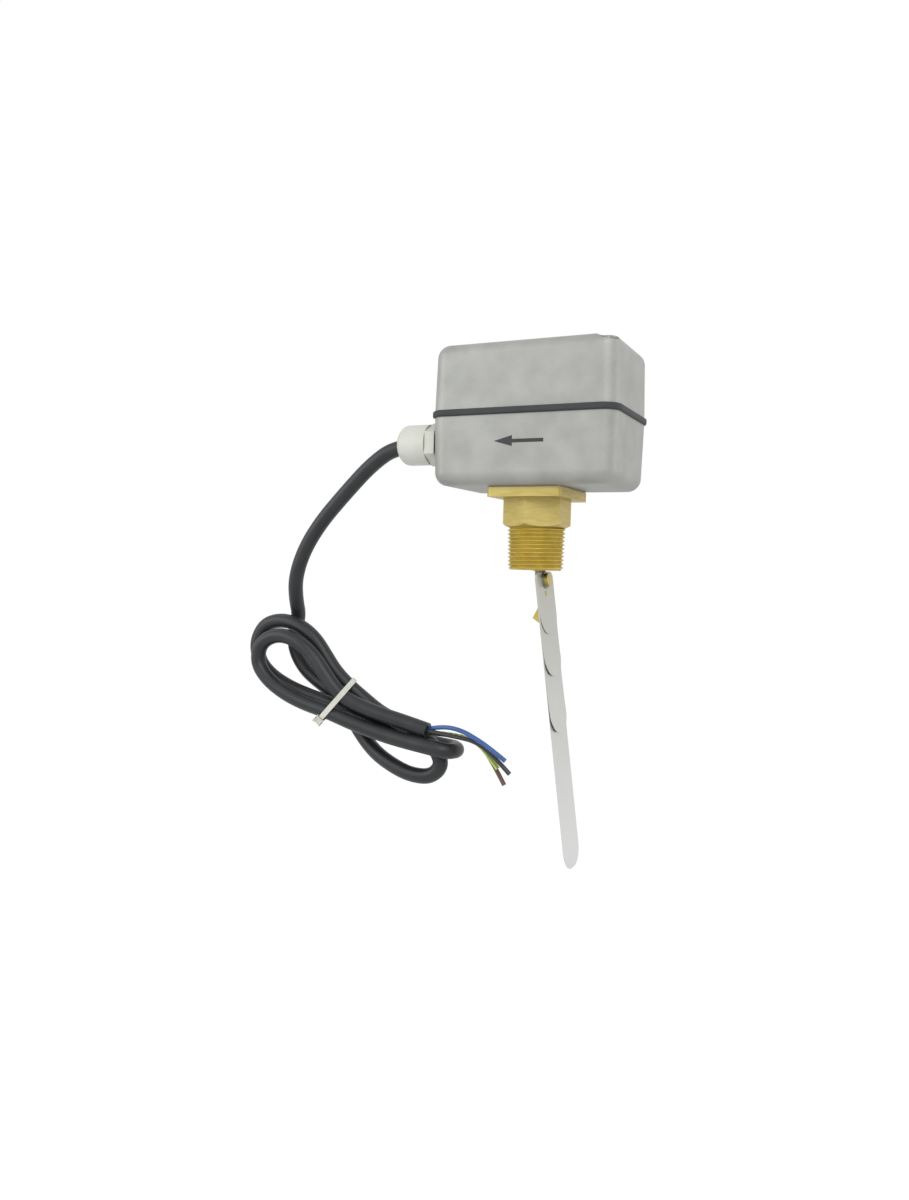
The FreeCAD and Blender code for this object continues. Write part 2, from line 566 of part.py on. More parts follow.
def make_rocker():
    """Bent lever: its leg meets the paddle lever, its arm lifts the spring, its tail works the switch."""
    body = new_body("rocker", x="$rocker_x", z="$rocker_z")
    half = "$rocker_sheet / 2"
    extrude(body, "Pad", circle(sketch_on(body, "XZ_Plane"), "$rocker_hub"), "$ear_gap - 0.6", both=True)
    arm = box_outline("-$rocker_tail", "$rocker_arm", "-" + half, half)
    extrude(body, "Pad", polygon(sketch_on(body, "XZ_Plane"), arm), "$rocker_width", both=True)
    side, drop = "sin($rocker_leg_lean)", "cos($rocker_leg_lean)"
    leg = []
    for along, offset in (("0", "-1"), ("$rocker_leg", "-1"), ("$rocker_leg", "1"), ("0", "1")):
        leg.append(("-(%s) * %s + %s * %s * %s" % (along, side, offset, half, drop),
                    "-(%s) * %s - %s * %s * %s" % (along, drop, offset, half, side)))
    extrude(body, "Pad", polygon(sketch_on(body, "XZ_Plane"), leg), "$rocker_width", both=True)
    extrude(body, "Pocket", circle(sketch_on(body, "XZ_Plane"), "$pin_radius + $running_gap"),
            "$ear_gap", both=True)


def make_range_spring():
    body = new_body("range_spring", x="$spring_x", z=ARM_TOP + " + $running_gap + $spring_wire")
    sketch = circle(sketch_on(body, "XZ_Plane"), "$spring_wire", "$spring_radius", "0")
    doc.recompute()
    helix = body.newObject("PartDesign::AdditiveHelix", "range_spring_helix")
    helix.Profile = sketch
    helix.ReferenceAxis = (sketch, ["V_Axis"])
    helix.Mode = "height-turns-growth"
    rise = "$nut_bottom - %s - 2 * $running_gap - 2 * $spring_wire" % ARM_TOP
    helix.setExpression("Height", bound(rise))
    helix.setExpression("Turns", bound("$spring_turns"))
    doc.recompute()
    nut = new_body("range_nut", x="$spring_x", z="$nut_bottom")
    half = "$nut_side / 2"
    sketch = polygon(sketch_on(nut, "XY_Plane"), box_outline("-" + half, half, "-" + half, half))
    circle(sketch, "$range_screw_radius + $running_gap")
    extrude(nut, "Pad", sketch, "$nut_height")
    head = round_bar("range_head", "$range_head_radius", "$range_head_height",
                     "$spring_x", "0", "$bracket_top + $running_gap", UP)
    shank = round_bar("range_shank", "$range_screw_radius", "$bracket_top + 1 - $range_screw_bottom",
                      "$spring_x", "0", "$range_screw_bottom", UP)
    ring = round_bar("range_collar", "$range_screw_radius + 1.1", "$collar", "$spring_x", "0",
                     "$bracket_top - $sheet - $collar - $running_gap", UP)
    group("range_screw", [fused("range_screw_solid", [head, shank, ring])])


def make_switch():
    body = new_body("microswitch", x="$switch_left", z="$switch_bottom")
    side = box_outline("0", "$switch_length", "0", "$switch_height")
    extrude(body, "Pad", polygon(sketch_on(body, "XZ_Plane"), side), "$switch_width", both=True)
    dress(body, "Chamfer", upright, "0.6")
    sketch = sketch_on(body, "XZ_Plane")
    for x in ("$switch_hole_inset", "$switch_length - $switch_hole_inset"):
        circle(sketch, "$small_screw_radius", x, "$switch_hole_inset")
    extrude(body, "Pocket", sketch, "$switch_width", both=True)
    hole = circle(sketch_on(body, "XY_Plane"), "$plunger_radius + $running_gap", "$plunger_x - $switch_left")
    extrude(body, "Pocket", hole, "$plunger_inside + 1", reverse=True)
    start = ARM_TOP + " + $plunger_play"
    group("switch_plunger", [round_bar("plunger_solid", "$plunger_radius",
                                       "$switch_bottom + $plunger_inside - (%s)" % start,
                                       "$plunger_x", "0", start, UP)])
    tabs = []
    for index, share in enumerate(("0.15", "0.5", "0.85")):
        tab = doc.addObject("Part::Box", "terminal_%d" % (index + 1))
        for name, formula in (("Length", "$tab_width"), ("Width", "$tab_thickness"), ("Height", "$tab_height")):
            tab.setExpression(name, bound(formula))
        place(tab, "$switch_left + %s * $switch_length - $tab_width / 2" % share, "-$tab_thickness / 2",
              "$switch_bottom + $switch_height")
        tabs.append(tab)
    group("switch_terminals", tabs)
    face = "-($ear_gap / 2 + $sheet)"
    group("switch_screws", [screw("switch_screw_%d" % i, x, face, "$switch_bottom + $switch_hole_inset", NORTH,
                                  "2.7", "2", "$small_screw_radius", "$ear_gap + 2 * $sheet + 0.5")
                            for i, x in enumerate(switch_holes())])


# --- cable gland: drawn along X about its own axis, +X into the housing -------------------------
def gland_body(label):
    return new_body(label, x="$housing_shift - " + HALF_LENGTH, y="$gland_y", z=GLAND_Z)


def pipe(body, spans):
    """Revolve a profile of (x, radius) corners about the gland's axis."""
    spin(body, "Revolution", polygon(sketch_on(body, "XZ_Plane"), spans), "H_Axis")


def make_gland():
    body = gland_body("gland_body")
    inside, outer_end = "$gland_inside", "-$gland_washer - $gland_hex - $gland_neck"
    bore = "$gland_mouth"
    pipe(body, [(inside, bore), (inside, "$gland_thread_radius - 0.02"),
                (outer_end, "$gland_thread_radius - 0.02"), (outer_end, bore)])
    sketch = polygon(sketch_on(body, "YZ_Plane", "-$gland_washer - $gland_hex"), hexagon("$gland_hex_flats"))
    circle(sketch, bore)
    extrude(body, "Pad", sketch, "$gland_hex")
    washer = gland_body("gland_washer")
    ring = circle(sketch_on(washer, "YZ_Plane", "-$gland_washer"), "$gland_hex_flats / 2")
    circle(ring, "$gland_thread_radius")
    extrude(washer, "Pad", ring, "$gland_washer")
    nut = gland_body("gland_locknut")
    sketch = polygon(sketch_on(nut, "YZ_Plane", "$wall"), hexagon("$gland_hex_flats"))
    circle(sketch, "$gland_thread_radius")
    extrude(nut, "Pad", sketch, "$locknut")


def make_gland_nut():
    nut = gland_body("gland_nut")
    seam = "-($gland_washer + $gland_hex + $gland_nut_gap)"
    end = seam + " - $gland_nut_length"
    roof = end + " + $gland_wall"
    pipe(nut, [(seam, "$gland_thread_radius"), (seam, "$gland_nut_radius"), (end, "$gland_nut_radius"),
               (end, "$gland_mouth"), (roof, "$gland_mouth"), (roof, "$gland_mouth + 1.5"),
               (roof + " + 3", "$gland_thread_radius")])
    far = size("gland_washer") + size("gland_hex") + size("gland_nut_gap") + size("gland_nut_length")
    rim = size("gland_nut_radius")
    dress(nut, "Fillet", lambda edge: edge.BoundBox.XMax < 0.01 - far and edge.BoundBox.ZMax > rim - 0.01,
          "min($gland_dome; $gland_nut_radius - $gland_mouth - 0.4)")
    seal = gland_body("gland_seal")
    start = end + " + $gland_wall + 0.3"
    stop = start + " + $seal_length"
    inner, outer = "$cable_radius + 0.02", "$gland_mouth - 0.1"
    pipe(seal, [(start, inner), (start, outer), (stop, outer), (stop, inner)])


# --- cable, its tied hank and its bare cores ---------------------------------------------------
CABLE_ROUTE = [(-72, 50), (-90, 50), (-108, 39.5), (-128, 20.5), (-147, 1), (-160, -18),
               (-166.5, -38), (-169, -51), (-169, -62)]
CORE_ROUTES = {
    "core_blue": [(-36, -22, -128.5), (-28, -22, -128.5), (-18, -22, -132.5), (-7, -22, -140)],
    "core_black": [(-36, -18, -131), (-27, -18, -131), (-17, -18, -137), (-5.5, -18, -148.5)],
    "core_green_yellow": [(-36, -14, -132.5), (-29, -14, -132.5), (-22, -14, -138), (-15, -14, -147)],
    "core_brown": [(-36, -10, -133), (-29.5, -10, -133), (-22.5, -10, -140), (-12, -10, -157.5)],
}
HANK_OUTLINE = [(-197, -81), (-190, -69), (-178, -62), (-158, -62), (-135, -85), (-122, -103),
                (-99, -114), (-64, -125), (-36, -126), (-36, -143), (-48, -151), (-64, -159),
                (-78, -156), (-110, -141), (-150, -125), (-186, -111), (-197, -94)]


def tube(label, route, radius):
    """A round cord along straight runs joined by the largest tangent arcs they leave room for."""
    points = [V(*point) for point in route]
    edges, start, radii = [], points[0], []
    for before, corner, after in zip(points, points[1:], points[2:]):
        run_in, run_out = (before - corner), (after - corner)
        reach = 0.45 * min(run_in.Length, run_out.Length)
        entry = corner + run_in.normalize() * reach
        leave = corner + run_out.normalize() * reach
        bisector = (run_in + run_out).normalize()
        half_turn = (math.pi - run_in.getAngle(run_out)) / 2
        bend = reach / math.tan(half_turn)
        radii.append(round(bend, 1))
        middle = corner + bisector * (bend / math.cos(half_turn) - bend)
        edges += [Part.LineSegment(start, entry).toShape(), Part.Arc(entry, middle, leave).toShape()]
        start = leave
    edges.append(Part.LineSegment(start, points[-1]).toShape())
    path = Part.Wire(edges)
    heading = points[1] - points[0]
    section = Part.Wire(Part.Circle(points[0], heading, radius).toShape())
    shell = Part.BRepOffsetAPI.MakePipeShell(path)
    shell.add(section)
    shell.build()
    shell.makeSolid()
    item = doc.addObject("Part::Feature", label)
    item.Label = label
    item.Shape = shell.shape()
    PARTS.append(item)
    expected = math.pi * radius ** 2 * path.Length
    print("%s: length %.1f, radii %s, volume over section times length %.4f"
          % (label, path.Length, radii, item.Shape.Volume / expected))


def make_cord():
    side = size("gland_y")
    tube("cable", [(x, side, z) for x, z in CABLE_ROUTE], size("cable_radius"))
    hank = new_body("cable_hank", y="$gland_y")
    outline = [(str(x), str(z)) for x, z in HANK_OUTLINE]
    extrude(hank, "Pad", polygon(sketch_on(hank, "XZ_Plane"), outline), "$hank_depth", both=True)
    tie = new_body("cable_tie", "$tie_x", "$gland_y", "$tie_z")
    tie.Placement = FreeCAD.Placement(tie.Placement.Base, FreeCAD.Rotation(V(0, 1, 0), 45))
    place(tie, "$tie_x", "$gland_y", "$tie_z")
    half_width, half_depth = "$tie_reach", "($hank_depth / 2)"
    sketch = sketch_on(tie, "YZ_Plane")
    polygon(sketch, box_outline("-%s - $tie_strap" % half_depth, "%s + $tie_strap" % half_depth,
                                "-%s - $tie_strap" % half_width, "%s + $tie_strap" % half_width))
    polygon(sketch, box_outline("-" + half_depth, half_depth, "-" + half_width, half_width))
    extrude(tie, "Pad", sketch, "$tie_width", both=True)
    for label, route in CORE_ROUTES.items():
        tube(label, route, size("core_radius"))


make_brass_body()
make_body_gasket()
make_base_housing()
make_cover()
make_housing_gasket()
make_housing_screws()
make_lever()
for position, (blade, blade_length) in enumerate(BLADES):
    make_blade(position, blade, blade_length)
make_paddle_fixings()
make_bellows()
make_pivot()
make_bracket()
make_rocker()
make_range_spring()
make_switch()
make_gland()
make_gland_nut()
make_cord()

# --- check and write --------------------------------------------------------------------------
doc.recompute()
for item in doc.Objects:
    if "Invalid" in item.State or "Error" in item.State:
        raise ValueError("%s failed: %s" % (item.Label, item.State))
os.makedirs("parts", exist_ok=True)
for part in PARTS:
    if part.Shape.isNull() or not part.Shape.isValid() or not part.Shape.Solids:
        raise ValueError("%s has no valid solid" % part.Label)
for part in PARTS:
    part.Shape.exportStep("parts/%s.step" % part.Label)
print(len(PARTS), "sub-parts written")
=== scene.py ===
"""Looks of a paddle flow switch: materials, pipe thread, flow arrow, cable with its tied hank and cores."""
import json
import math

import bmesh
import bpy
from mathutils import Matrix, Vector


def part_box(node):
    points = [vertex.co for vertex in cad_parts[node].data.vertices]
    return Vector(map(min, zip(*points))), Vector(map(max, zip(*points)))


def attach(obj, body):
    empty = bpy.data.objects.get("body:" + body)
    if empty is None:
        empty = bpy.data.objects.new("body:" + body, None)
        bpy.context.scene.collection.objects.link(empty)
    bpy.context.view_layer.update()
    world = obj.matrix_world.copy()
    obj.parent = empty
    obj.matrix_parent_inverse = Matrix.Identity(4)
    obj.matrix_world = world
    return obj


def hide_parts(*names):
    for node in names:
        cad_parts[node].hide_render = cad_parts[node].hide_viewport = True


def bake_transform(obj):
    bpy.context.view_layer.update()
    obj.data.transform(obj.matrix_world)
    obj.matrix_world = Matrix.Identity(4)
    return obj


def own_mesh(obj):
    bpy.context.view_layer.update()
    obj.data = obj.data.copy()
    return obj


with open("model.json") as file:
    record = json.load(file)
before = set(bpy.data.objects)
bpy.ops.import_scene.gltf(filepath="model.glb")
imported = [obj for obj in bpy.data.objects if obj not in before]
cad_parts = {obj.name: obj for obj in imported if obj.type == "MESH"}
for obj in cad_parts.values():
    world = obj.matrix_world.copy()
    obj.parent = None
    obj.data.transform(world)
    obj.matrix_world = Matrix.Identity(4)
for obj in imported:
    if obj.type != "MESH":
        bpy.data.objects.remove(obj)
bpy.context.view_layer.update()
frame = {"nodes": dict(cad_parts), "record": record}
nodes = frame["nodes"]
MM = 0.001
MERGE = 1e-7


# --- node materials ---------------------------------------------------------------------------
def material(name, color, rough=0.5, metal=0.0, spec=0.5, coat=0.0):
    """A Principled material of one colour and finish."""
    mat = bpy.data.materials.new(name)
    mat.use_nodes = True
    shader = mat.node_tree.nodes["Principled BSDF"]
    shader.inputs["Base Color"].default_value = (*color, 1)
    shader.inputs["Roughness"].default_value = rough
    shader.inputs["Metallic"].default_value = metal
    shader.inputs["Specular IOR Level"].default_value = spec
    shader.inputs["Coat Weight"].default_value = coat
    return mat


def add(mat, kind, **values):
    """A new node, with its settings or its inputs given by name."""
    node = mat.node_tree.nodes.new(kind)
    for key, value in values.items():
        if hasattr(node, key):
            setattr(node, key, value)
        else:
            node.inputs[key.replace("_", " ")].default_value = value
    return node


def link(mat, out, into):
    mat.node_tree.links.new(out, into)


def noise(mat, scale, detail=3.0, stretch=(1, 1, 1)):
    """Noise over the object's own coordinates, scaled per metre."""
    coords = add(mat, "ShaderNodeTexCoord")
    mapping = add(mat, "ShaderNodeMapping")
    mapping.inputs["Scale"].default_value = stretch
    texture = add(mat, "ShaderNodeTexNoise", Scale=scale, Detail=detail)
    link(mat, coords.outputs["Object"], mapping.inputs["Vector"])
    link(mat, mapping.outputs["Vector"], texture.inputs["Vector"])
    return texture.outputs["Fac"]


def ramp(mat, fac, low, high, start=0.35, end=0.65):
    node = add(mat, "ShaderNodeValToRGB")
    node.color_ramp.elements[0].position = start
    node.color_ramp.elements[1].position = end
    node.color_ramp.elements[0].color = (*low, 1)
    node.color_ramp.elements[1].color = (*high, 1)
    link(mat, fac, node.inputs["Fac"])
    return node.outputs["Color"]


def paint(mat, color_socket):
    link(mat, color_socket, mat.node_tree.nodes["Principled BSDF"].inputs["Base Color"])


def rough_from(mat, fac, low, high):
    node = add(mat, "ShaderNodeMapRange")
    node.inputs["To Min"].default_value = low
    node.inputs["To Max"].default_value = high
    link(mat, fac, node.inputs["Value"])
    link(mat, node.outputs["Result"], mat.node_tree.nodes["Principled BSDF"].inputs["Roughness"])


def bump(mat, fac, strength, distance):
    node = add(mat, "ShaderNodeBump")
    node.inputs["Strength"].default_value = strength
    node.inputs["Distance"].default_value = distance
    link(mat, fac, node.inputs["Height"])
    link(mat, node.outputs["Normal"], mat.node_tree.nodes["Principled BSDF"].inputs["Normal"])


def shade(name, low, high, scale, rough=(0.4, 0.6), metal=0.0, grain=None, stretch=(1, 1, 1), **more):
    """A two-tone mottled material with roughness variation and an optional bump grain."""
    mat = material(name, low, metal=metal, **more)
    mottle = noise(mat, scale, 4.0, stretch)
    paint(mat, ramp(mat, mottle, low, high))
    rough_from(mat, mottle, *rough)
    if grain:
        grain_scale, strength, distance = grain
        bump(mat, noise(mat, grain_scale, 2.0, stretch), strength, distance)
    return mat


LOOKS = {
    "cast_aluminium": shade("cast_aluminium", (0.305, 0.31, 0.29), (0.365, 0.37, 0.35), 55, (0.46, 0.6),
                            0.42, (900, 0.3, 0.0005)),
    "brass": shade("brass", (0.44, 0.35, 0.1), (0.52, 0.42, 0.15), 90, (0.42, 0.55), 0.6,
                   (1500, 0.12, 0.0002), (1, 1, 6)),
    # the thread's brass is the body's brass made lighter: painted highlight for the shine on its crests
    "thread_brass_painted_highlight": shade("thread_brass_painted_highlight", (0.5, 0.38, 0.075), (0.58, 0.45, 0.11), 120, (0.35, 0.5), 0.6),
    "lever_brass": shade("lever_brass", (0.46, 0.36, 0.1), (0.54, 0.43, 0.15), 150, (0.35, 0.48), 0.7),
    "bronze": shade("bronze", (0.5, 0.3, 0.12), (0.56, 0.36, 0.16), 150, (0.25, 0.35), 0.9),
    "stainless": shade("stainless", (0.49, 0.49, 0.455), (0.55, 0.55, 0.515), 60, (0.34, 0.44), 0.8,
                       (2500, 0.03, 0.0001), (1, 1, 0.05)),
    "zinc_steel": shade("zinc_steel", (0.2, 0.2, 0.19), (0.27, 0.27, 0.26), 220, (0.35, 0.5), 0.7),
    "plated_sheet": shade("plated_sheet", (0.52, 0.53, 0.52), (0.6, 0.6, 0.59), 90, (0.3, 0.42), 1.0),
    "spring_steel": shade("spring_steel", (0.35, 0.35, 0.36), (0.42, 0.42, 0.42), 200, (0.25, 0.35), 1.0),
    "seal_rubber": shade("seal_rubber", (0.022, 0.0235, 0.025), (0.032, 0.034, 0.036), 120, (0.6, 0.75), 0.0,
                         (1200, 0.15, 0.0002)),
    "gland_plastic": shade("gland_plastic", (0.55, 0.555, 0.49), (0.6, 0.605, 0.55), 60, (0.42, 0.52)),
    "switch_case": shade("switch_case", (0.02, 0.02, 0.022), (0.035, 0.035, 0.037), 90, (0.4, 0.5)),
    "plunger_plastic": shade("plunger_plastic", (0.5, 0.03, 0.02), (0.58, 0.05, 0.03), 90, (0.3, 0.4)),
    "contact_brass": shade("contact_brass", (0.6, 0.45, 0.18), (0.68, 0.52, 0.24), 120, (0.25, 0.35), 1.0),
    "cable_jacket": shade("cable_jacket", (0.013, 0.0143, 0.016), (0.02, 0.0215, 0.0235), 90, (0.36, 0.5),
                          0.0, (700, 0.12, 0.0003), spec=0.4),
    "tie_plastic": shade("tie_plastic", (0.62, 0.62, 0.55), (0.7, 0.7, 0.64), 90, (0.4, 0.5)),
    "core_blue": shade("core_blue", (0.02, 0.08, 0.27), (0.03, 0.1, 0.32), 90, (0.3, 0.4)),
    "core_black": shade("core_black", (0.02, 0.02, 0.022), (0.03, 0.03, 0.03), 90, (0.3, 0.4)),
    "core_brown": shade("core_brown", (0.11, 0.055, 0.04), (0.15, 0.075, 0.055), 90, (0.3, 0.4)),
}


def striped(name, first, second):
    """Two colours that wind along a core, as on an earth conductor."""
    mat = material(name, first, 0.35)
    coords = add(mat, "ShaderNodeTexCoord")
    texture = add(mat, "ShaderNodeTexWave", Scale=175.0, Distortion=0.4)
    texture.bands_direction = "DIAGONAL"
    link(mat, coords.outputs["Object"], texture.inputs["Vector"])
    paint(mat, ramp(mat, texture.outputs["Fac"], first, second, 0.47, 0.53))
    return mat


LOOKS["core_green_yellow"] = striped("core_green_yellow", (0.16, 0.36, 0.06), (0.56, 0.58, 0.1))
LOOKS["fibre_gasket"] = shade("fibre_gasket", (0.42, 0.4, 0.33), (0.5, 0.48, 0.4), 150, (0.7, 0.85))
LOOKS["arrow_ink"] = shade("arrow_ink", (0.018, 0.018, 0.019), (0.026, 0.026, 0.027), 200, (0.5, 0.6))


def blade_steel_painted_shade():
    """Brushed sheet with painted shade that makes it a little darker near its clamped end."""
    mat = material("blade_steel_painted_shade", (0.5, 0.5, 0.47), 0.38, 0.75)
    coords = add(mat, "ShaderNodeTexCoord")
    split = add(mat, "ShaderNodeSeparateXYZ")
    link(mat, coords.outputs["Object"], split.inputs["Vector"])
    # painted shade: the colour darkens towards the clamped top end of the blade
    spread = add(mat, "ShaderNodeMapRange")
    spread.inputs["From Min"].default_value = -0.03
    spread.inputs["From Max"].default_value = -0.2
    link(mat, split.outputs["Z"], spread.inputs["Value"])
    shift = add(mat, "ShaderNodeMath", operation="MULTIPLY_ADD")
    link(mat, noise(mat, 45, 3.0), shift.inputs[0])
    shift.inputs[1].default_value = 0.16
    link(mat, spread.outputs["Result"], shift.inputs[2])
    paint(mat, ramp(mat, shift.outputs["Value"], (0.41, 0.41, 0.365), (0.64, 0.64, 0.635), 0.05, 1.1))
    bump(mat, noise(mat, 2500, 2.0, (1, 1, 0.05)), 0.03, 0.0001)
    return mat


LOOKS["blade_steel_painted_shade"] = blade_steel_painted_shade()

slots = {part["node"]: part["material_slot"] for part in frame["record"]["subparts"]}
for node, obj in nodes.items():
    obj.data.materials.clear()
    obj.data.materials.append(LOOKS[slots[node]])
nodes["blade_6_inch"].data.materials[0] = LOOKS["blade_steel_painted_shade"]


# --- small helpers ----------------------------------------------------------------------------
def mesh_of(node):
    """An editable copy of a CAD piece's mesh."""
    mesh = bmesh.new()
    mesh.from_mesh(nodes[node].data)
    return mesh


def bridge(mesh, first, second):
    """Faces between two rings that have the same number of points."""
    for i in range(len(first)):
        j = (i + 1) % len(first)
        mesh.faces.new((first[i], first[j], second[j], second[i]))


def cut(mesh, point, normal, **removed):
    """Cut the whole of a mesh by a plane; both sides stay unless one is named."""
    everything = mesh.verts[:] + mesh.edges[:] + mesh.faces[:]
    return bmesh.ops.bisect_plane(mesh, geom=everything, plane_co=point, plane_no=normal, dist=MERGE,
                                  **removed)


def from_bmesh(name, mesh_source, look, body, smooth=True):
    """A piece made from a mesh; it rides a body where one is given."""
    mesh = bpy.data.meshes.new(name)
    bmesh.ops.recalc_face_normals(mesh_source, faces=mesh_source.faces)
    mesh_source.to_mesh(mesh)
    mesh_source.free()
    obj = bpy.data.objects.new(name, mesh)
    bpy.context.scene.collection.objects.link(obj)
    for polygon in mesh.polygons:
        polygon.use_smooth = smooth
    mesh.materials.append(LOOKS[look])
    if body:
        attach(obj, body)
    return obj


# --- pipe thread ------------------------------------------------------------------------------
THREAD_PITCH = 2.309
CREST_LOW, CREST_HIGH = 16.8, 17.6
THREAD_DEPTH = 1.48
THREAD_TOP = -0.1
CORE_RADIUS = 15.0
FLAT_GAIN, FLAT_SHIFT = 1.2, 0.08
CHAMFER_SLOPE = 1.1
THREAD_ROWS, THREAD_COLUMNS = 260, 120
END_GAP = 0.02
RIM_LAP = 0.3
CUTTER_MARGIN = 1
SHARP_ANGLE = 25


def thread_radius(z, turn, bottom, top):
    """Tapered V thread: radius at height z and angle turn (0 to 1), chamfered at its start."""
    phase = (z / THREAD_PITCH - turn) % 1.0
    height = 1.0 - 2.0 * abs(phase - 0.5)
    height = min(1.0, max(0.0, FLAT_GAIN * height - FLAT_SHIFT))
    crest = CREST_LOW + (CREST_HIGH - CREST_LOW) * (z - bottom) / (top - bottom)
    chamfer = crest - THREAD_DEPTH + (z - bottom) * CHAMFER_SLOPE
    return min(crest - THREAD_DEPTH * (1.0 - height), max(chamfer, crest - THREAD_DEPTH))


def around_axis(mesh, radius, turn, z):
    """A point of a mesh at a radius, turn (0 to 1) and height about the pipe's axis, in millimetres."""
    angle = 2 * math.pi * turn
    return mesh.verts.new((radius * math.cos(angle) * MM, radius * math.sin(angle) * MM, z * MM))


def make_thread():
    """The threaded skin, closed inwards at both ends by a flat rim."""
    bottom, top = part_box("brass_body")[0][2] / MM + END_GAP, THREAD_TOP
    turns = [column / THREAD_COLUMNS for column in range(THREAD_COLUMNS)]
    mesh = bmesh.new()
    grid = []
    for row in range(THREAD_ROWS + 1):
        z = bottom + (top - bottom) * row / THREAD_ROWS
        grid.append([around_axis(mesh, thread_radius(z, turn, bottom, top), turn, z) for turn in turns])
    for lower, upper in zip(grid, grid[1:]):
        bridge(mesh, lower, upper)
    for ring in (grid[0], grid[-1]):
        inner = [mesh.verts.new(v.co.xy.normalized().to_3d() * (CORE_RADIUS - RIM_LAP) * MM
                                + Vector((0, 0, v.co.z))) for v in ring]
        bridge(mesh, ring, inner)
    from_bmesh("pipe_thread_form", mesh, "thread_brass_painted_highlight", "root")


def turned_down_body():
    """The brass body with its threaded length turned down to just inside the thread's root."""
    body = bpy.data.objects.new("brass_body_form", nodes["brass_body"].data.copy())
    bpy.context.scene.collection.objects.link(body)
    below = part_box("brass_body")[0][2] / MM - CUTTER_MARGIN
    outside = CREST_HIGH + 2 * CUTTER_MARGIN
    section = [(CORE_RADIUS, below), (CORE_RADIUS, THREAD_TOP), (outside, THREAD_TOP), (outside, below)]
    cutter_mesh = bmesh.new()
    rings = [[around_axis(cutter_mesh, radius, i / THREAD_COLUMNS, z) for i in range(THREAD_COLUMNS)]
             for radius, z in section]
    for first, second in zip(rings, rings[1:] + rings[:1]):
        bridge(cutter_mesh, first, second)
    bmesh.ops.recalc_face_normals(cutter_mesh, faces=cutter_mesh.faces)
    cutter_data = bpy.data.meshes.new("thread_cutter")
    cutter_mesh.to_mesh(cutter_data)
    cutter_mesh.free()
    cutter = bpy.data.objects.new("thread_cutter", cutter_data)
    bpy.context.scene.collection.objects.link(cutter)
    modifier = body.modifiers.new("turn_down", "BOOLEAN")
    modifier.operation = "DIFFERENCE"
    modifier.solver = "EXACT"
    modifier.object = cutter
    depsgraph = bpy.context.evaluated_depsgraph_get()
    body.data = bpy.data.meshes.new_from_object(body.evaluated_get(depsgraph))
    body.modifiers.clear()
    bpy.data.objects.remove(cutter)
    old_normals = body.data.attributes.get("custom_normal")
    if old_normals:
        body.data.attributes.remove(old_normals)
    body.data.set_sharp_from_angle(angle=math.radians(SHARP_ANGLE))
    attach(body, "root")
    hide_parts("brass_body")


make_thread()
turned_down_body()


# --- flow arrow on the lower housing ----------------------------------------------------------
HOUSING_DRAFT = math.tan(math.radians(1.2))
ARROW = [(-15.2, 48.25), (-3.8, 51.3), (-3.8, 49.1), (15.4, 49.1), (15.4, 47.0), (-3.8, 47.0),
         (-3.8, 45.0)]
ARROW_SUNK, ARROW_PROUD = 0.08, 0.04


def make_arrow():
    """A thin printed arrow on the drafted front face, pointing along the flow."""
    low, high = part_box("base_housing")
    front, seat = low[1] / MM, high[2] / MM
    mesh = bmesh.new()
    rings = []
    for proud in (-ARROW_SUNK, ARROW_PROUD):
        places = [(x, front + HOUSING_DRAFT * (seat - z) - proud, z) for x, z in ARROW]
        rings.append([mesh.verts.new(Vector(place) * MM) for place in places])
    back_ring, front_ring = rings
    mesh.faces.new(back_ring)
    mesh.faces.new(list(reversed(front_ring)))
    bridge(mesh, back_ring, front_ring)
    from_bmesh("flow_arrow", mesh, "arrow_ink", "root", smooth=False)


make_arrow()


# --- cable, hank and cores --------------------------------------------------------------------
def curve(name, points, radius, look, resolution=8):
    """A round cord along given points, in millimetres; it follows the body root."""
    data = bpy.data.curves.new(name, "CURVE")
    data.dimensions = "3D"
    data.bevel_depth = radius * MM
    data.bevel_resolution = 6
    data.use_fill_caps = True
    data.resolution_u = resolution
    spline = data.splines.new("NURBS")
    spline.points.add(len(points) - 1)
    for target, (x, y, z) in zip(spline.points, points):
        target.co = (x * MM, y * MM, z * MM, 1.0)
    spline.order_u = 3
    spline.use_endpoint_u = True
    spline.use_smooth = True
    obj = bpy.data.objects.new(name, data)
    bpy.context.scene.collection.objects.link(obj)
    data.materials.append(LOOKS[look])
    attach(obj, "root")
    return obj


def curve_length(obj):
    """Length of the curve's own line, in metres."""
    bare = obj.data.copy()
    bare.bevel_depth = 0
    probe = bpy.data.objects.new("probe", bare)
    bpy.context.scene.collection.objects.link(probe)
    bpy.context.view_layer.update()
    mesh = bpy.data.meshes.new_from_object(probe.evaluated_get(bpy.context.evaluated_depsgraph_get()))
    ends = [[mesh.vertices[i].co for i in edge.vertices] for edge in mesh.edges]
    bpy.data.objects.remove(probe)
    return sum((first - second).length for first, second in ends)


